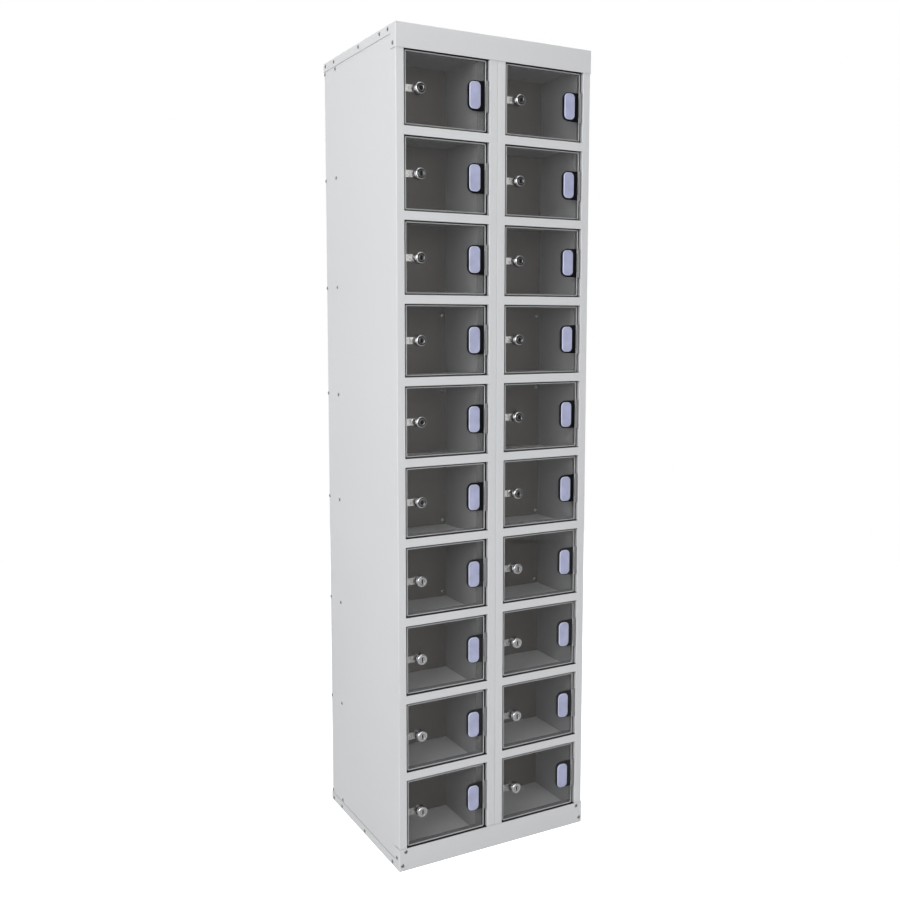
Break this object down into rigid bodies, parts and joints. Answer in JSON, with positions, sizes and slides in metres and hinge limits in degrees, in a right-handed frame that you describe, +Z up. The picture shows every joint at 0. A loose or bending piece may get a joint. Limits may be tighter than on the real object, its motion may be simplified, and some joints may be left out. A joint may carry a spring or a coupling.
{
  "type": "phone charging locker",
  "caption": "Tall steel phone charging locker: two columns of small compartments behind clear hinged doors with cam locks, charging gear in a rear bay.",
  "frame": {"origin": "on the floor under the middle of the object's bounding box", "axes": "+Z up, the doors face -Y, +X to the right of a person facing the doors"},
  "size_m": [0.478, 0.3972, 1.78],
  "materials": {
    "painted_steel": "pale grey fine-texture powder coat",
    "inner_steel": "satin grey powder coat",
    "clear_door": "clear polycarbonate sheet with flame-polished edges",
    "lock_metal": "bright plated zinc and steel",
    "black_plastic": "fine-textured moulded black",
    "supply_case": "brushed folded case",
    "lead_sheath": "satin flexible sheath"
  },
  "bodies": {
    "root": {"base_tray": "painted_steel", "charging_rail_left": "black_plastic", "charging_rail_right": "black_plastic", "compartment_nest_left": "inner_steel", "compartment_nest_right": "inner_steel", "front_frame_left": "painted_steel", "front_frame_right": "painted_steel", "inlet_lead": "lead_sheath", "inlet_panel": "painted_steel", "lower_rear_panel": "painted_steel", "mains_inlet": "black_plastic", "power_supply": "supply_case", "rail_lead_left": "lead_sheath", "rail_lead_right": "lead_sheath", "rear_panel": "painted_steel", "service_shelf": "inner_steel", "side_panel_left": "painted_steel", "side_panel_right": "painted_steel", "top_cap": "painted_steel"},
    "door_L01_body": {"door_L01": "clear_door"},
    "lock_cam_L01_body": {"lock_cam_L01": "lock_metal"},
    "door_L02_body": {"door_L02": "clear_door"},
    "lock_cam_L02_body": {"lock_cam_L02": "lock_metal"},
    "door_L03_body": {"door_L03": "clear_door"},
    "lock_cam_L03_body": {"lock_cam_L03": "lock_metal"},
    "door_L04_body": {"door_L04": "clear_door"},
    "lock_cam_L04_body": {"lock_cam_L04": "lock_metal"},
    "door_L05_body": {"door_L05": "clear_door"},
    "lock_cam_L05_body": {"lock_cam_L05": "lock_metal"},
    "door_L06_body": {"door_L06": "clear_door"},
    "lock_cam_L06_body": {"lock_cam_L06": "lock_metal"},
    "door_L07_body": {"door_L07": "clear_door"},
    "lock_cam_L07_body": {"lock_cam_L07": "lock_metal"},
    "door_L08_body": {"door_L08": "clear_door"},
    "lock_cam_L08_body": {"lock_cam_L08": "lock_metal"},
    "door_L09_body": {"door_L09": "clear_door"},
    "lock_cam_L09_body": {"lock_cam_L09": "lock_metal"},
    "door_L10_body": {"door_L10": "clear_door"},
    "lock_cam_L10_body": {"lock_cam_L10": "lock_metal"},
    "door_R01_body": {"door_R01": "clear_door"},
    "lock_cam_R01_body": {"lock_cam_R01": "lock_metal"},
    "door_R02_body": {"door_R02": "clear_door"},
    "lock_cam_R02_body": {"lock_cam_R02": "lock_metal"},
    "door_R03_body": {"door_R03": "clear_door"},
    "lock_cam_R03_body": {"lock_cam_R03": "lock_metal"},
    "door_R04_body": {"door_R04": "clear_door"},
    "lock_cam_R04_body": {"lock_cam_R04": "lock_metal"},
    "door_R05_body": {"door_R05": "clear_door"},
    "lock_cam_R05_body": {"lock_cam_R05": "lock_metal"},
    "door_R06_body": {"door_R06": "clear_door"},
    "lock_cam_R06_body": {"lock_cam_R06": "lock_metal"},
    "door_R07_body": {"door_R07": "clear_door"},
    "lock_cam_R07_body": {"lock_cam_R07": "lock_metal"},
    "door_R08_body": {"door_R08": "clear_door"},
    "lock_cam_R08_body": {"lock_cam_R08": "lock_metal"},
    "door_R09_body": {"door_R09": "clear_door"},
    "lock_cam_R09_body": {"lock_cam_R09": "lock_metal"},
    "door_R10_body": {"door_R10": "clear_door"},
    "lock_cam_R10_body": {"lock_cam_R10": "lock_metal"}
  },
  "joints": [
    {"name": "door_L01_hinge", "type": "hinge", "parent": "root", "child": "door_L01_body", "pos_m": [-0.0235, -0.18785, 1.65455], "axis": [0, 0, 1], "range_deg": [0, 95]},
    {"name": "lock_cam_L01_turn", "type": "hinge", "parent": "door_L01_body", "child": "lock_cam_L01_body", "pos_m": [-0.1845, -0.1921, 1.65455], "axis": [0, 1, 0], "range_deg": [0, 90]},
    {"name": "door_L02_hinge", "type": "hinge", "parent": "root", "child": "door_L02_body", "pos_m": [-0.0235, -0.18785, 1.48465], "axis": [0, 0, 1], "range_deg": [0, 95]},
    {"name": "lock_cam_L02_turn", "type": "hinge", "parent": "door_L02_body", "child": "lock_cam_L02_body", "pos_m": [-0.1845, -0.1921, 1.48465], "axis": [0, 1, 0], "range_deg": [0, 90]},
    {"name": "door_L03_hinge", "type": "hinge", "parent": "root", "child": "door_L03_body", "pos_m": [-0.0235, -0.18785, 1.31475], "axis": [0, 0, 1], "range_deg": [0, 95]},
    {"name": "lock_cam_L03_turn", "type": "hinge", "parent": "door_L03_body", "child": "lock_cam_L03_body", "pos_m": [-0.1845, -0.1921, 1.31475], "axis": [0, 1, 0], "range_deg": [0, 90]},
    {"name": "door_L04_hinge", "type": "hinge", "parent": "root", "child": "door_L04_body", "pos_m": [-0.0235, -0.18785, 1.14485], "axis": [0, 0, 1], "range_deg": [0, 95]},
    {"name": "lock_cam_L04_turn", "type": "hinge", "parent": "door_L04_body", "child": "lock_cam_L04_body", "pos_m": [-0.1845, -0.1921, 1.14485], "axis": [0, 1, 0], "range_deg": [0, 90]},
    {"name": "door_L05_hinge", "type": "hinge", "parent": "root", "child": "door_L05_body", "pos_m": [-0.0235, -0.18785, 0.97495], "axis": [0, 0, 1], "range_deg": [0, 95]},
    {"name": "lock_cam_L05_turn", "type": "hinge", "parent": "door_L05_body", "child": "lock_cam_L05_body", "pos_m": [-0.1845, -0.1921, 0.97495], "axis": [0, 1, 0], "range_deg": [0, 90]},
    {"name": "door_L06_hinge", "type": "hinge", "parent": "root", "child": "door_L06_body", "pos_m": [-0.0235, -0.18785, 0.80505], "axis": [0, 0, 1], "range_deg": [0, 95]},
    {"name": "lock_cam_L06_turn", "type": "hinge", "parent": "door_L06_body", "child": "lock_cam_L06_body", "pos_m": [-0.1845, -0.1921, 0.80505], "axis": [0, 1, 0], "range_deg": [0, 90]},
    {"name": "door_L07_hinge", "type": "hinge", "parent": "root", "child": "door_L07_body", "pos_m": [-0.0235, -0.18785, 0.63515], "axis": [0, 0, 1], "range_deg": [0, 95]},
    {"name": "lock_cam_L07_turn", "type": "hinge", "parent": "door_L07_body", "child": "lock_cam_L07_body", "pos_m": [-0.1845, -0.1921, 0.63515], "axis": [0, 1, 0], "range_deg": [0, 90]},
    {"name": "door_L08_hinge", "type": "hinge", "parent": "root", "child": "door_L08_body", "pos_m": [-0.0235, -0.18785, 0.46525], "axis": [0, 0, 1], "range_deg": [0, 95]},
    {"name": "lock_cam_L08_turn", "type": "hinge", "parent": "door_L08_body", "child": "lock_cam_L08_body", "pos_m": [-0.1845, -0.1921, 0.46525], "axis": [0, 1, 0], "range_deg": [0, 90]},
    {"name": "door_L09_hinge", "type": "hinge", "parent": "root", "child": "door_L09_body", "pos_m": [-0.0235, -0.18785, 0.29535], "axis": [0, 0, 1], "range_deg": [0, 95]},
    {"name": "lock_cam_L09_turn", "type": "hinge", "parent": "door_L09_body", "child": "lock_cam_L09_body", "pos_m": [-0.1845, -0.1921, 0.29535], "axis": [0, 1, 0], "range_deg": [0, 90]},
    {"name": "door_L10_hinge", "type": "hinge", "parent": "root", "child": "door_L10_body", "pos_m": [-0.0235, -0.18785, 0.12545], "axis": [0, 0, 1], "range_deg": [0, 95]},
    {"name": "lock_cam_L10_turn", "type": "hinge", "parent": "door_L10_body", "child": "lock_cam_L10_body", "pos_m": [-0.1845, -0.1921, 0.12545], "axis": [0, 1, 0], "range_deg": [0, 90]},
    {"name": "door_R01_hinge", "type": "hinge", "parent": "root", "child": "door_R01_body", "pos_m": [0.2155, -0.18785, 1.65455], "axis": [0, 0, 1], "range_deg": [0, 95]},
    {"name": "lock_cam_R01_turn", "type": "hinge", "parent": "door_R01_body", "child": "lock_cam_R01_body", "pos_m": [0.0545, -0.1921, 1.65455], "axis": [0, 1, 0], "range_deg": [0, 90]},
    {"name": "door_R02_hinge", "type": "hinge", "parent": "root", "child": "door_R02_body", "pos_m": [0.2155, -0.18785, 1.48465], "axis": [0, 0, 1], "range_deg": [0, 95]},
    {"name": "lock_cam_R02_turn", "type": "hinge", "parent": "door_R02_body", "child": "lock_cam_R02_body", "pos_m": [0.0545, -0.1921, 1.48465], "axis": [0, 1, 0], "range_deg": [0, 90]},
    {"name": "door_R03_hinge", "type": "hinge", "parent": "root", "child": "door_R03_body", "pos_m": [0.2155, -0.18785, 1.31475], "axis": [0, 0, 1], "range_deg": [0, 95]},
    {"name": "lock_cam_R03_turn", "type": "hinge", "parent": "door_R03_body", "child": "lock_cam_R03_body", "pos_m": [0.0545, -0.1921, 1.31475], "axis": [0, 1, 0], "range_deg": [0, 90]},
    {"name": "door_R04_hinge", "type": "hinge", "parent": "root", "child": "door_R04_body", "pos_m": [0.2155, -0.18785, 1.14485], "axis": [0, 0, 1], "range_deg": [0, 95]},
    {"name": "lock_cam_R04_turn", "type": "hinge", "parent": "door_R04_body", "child": "lock_cam_R04_body", "pos_m": [0.0545, -0.1921, 1.14485], "axis": [0, 1, 0], "range_deg": [0, 90]},
    {"name": "door_R05_hinge", "type": "hinge", "parent": "root", "child": "door_R05_body", "pos_m": [0.2155, -0.18785, 0.97495], "axis": [0, 0, 1], "range_deg": [0, 95]},
    {"name": "lock_cam_R05_turn", "type": "hinge", "parent": "door_R05_body", "child": "lock_cam_R05_body", "pos_m": [0.0545, -0.1921, 0.97495], "axis": [0, 1, 0], "range_deg": [0, 90]},
    {"name": "door_R06_hinge", "type": "hinge", "parent": "root", "child": "door_R06_body", "pos_m": [0.2155, -0.18785, 0.80505], "axis": [0, 0, 1], "range_deg": [0, 95]},
    {"name": "lock_cam_R06_turn", "type": "hinge", "parent": "door_R06_body", "child": "lock_cam_R06_body", "pos_m": [0.0545, -0.1921, 0.80505], "axis": [0, 1, 0], "range_deg": [0, 90]},
    {"name": "door_R07_hinge", "type": "hinge", "parent": "root", "child": "door_R07_body", "pos_m": [0.2155, -0.18785, 0.63515], "axis": [0, 0, 1], "range_deg": [0, 95]},
    {"name": "lock_cam_R07_turn", "type": "hinge", "parent": "door_R07_body", "child": "lock_cam_R07_body", "pos_m": [0.0545, -0.1921, 0.63515], "axis": [0, 1, 0], "range_deg": [0, 90]},
    {"name": "door_R08_hinge", "type": "hinge", "parent": "root", "child": "door_R08_body", "pos_m": [0.2155, -0.18785, 0.46525], "axis": [0, 0, 1], "range_deg": [0, 95]},
    {"name": "lock_cam_R08_turn", "type": "hinge", "parent": "door_R08_body", "child": "lock_cam_R08_body", "pos_m": [0.0545, -0.1921, 0.46525], "axis": [0, 1, 0], "range_deg": [0, 90]},
    {"name": "door_R09_hinge", "type": "hinge", "parent": "root", "child": "door_R09_body", "pos_m": [0.2155, -0.18785, 0.29535], "axis": [0, 0, 1], "range_deg": [0, 95]},
    {"name": "lock_cam_R09_turn", "type": "hinge", "parent": "door_R09_body", "child": "lock_cam_R09_body", "pos_m": [0.0545, -0.1921, 0.29535], "axis": [0, 1, 0], "range_deg": [0, 90]},
    {"name": "door_R10_hinge", "type": "hinge", "parent": "root", "child": "door_R10_body", "pos_m": [0.2155, -0.18785, 0.12545], "axis": [0, 0, 1], "range_deg": [0, 95]},
    {"name": "lock_cam_R10_turn", "type": "hinge", "parent": "door_R10_body", "child": "lock_cam_R10_body", "pos_m": [0.0545, -0.1921, 0.12545], "axis": [0, 1, 0], "range_deg": [0, 90]}
  ]
}
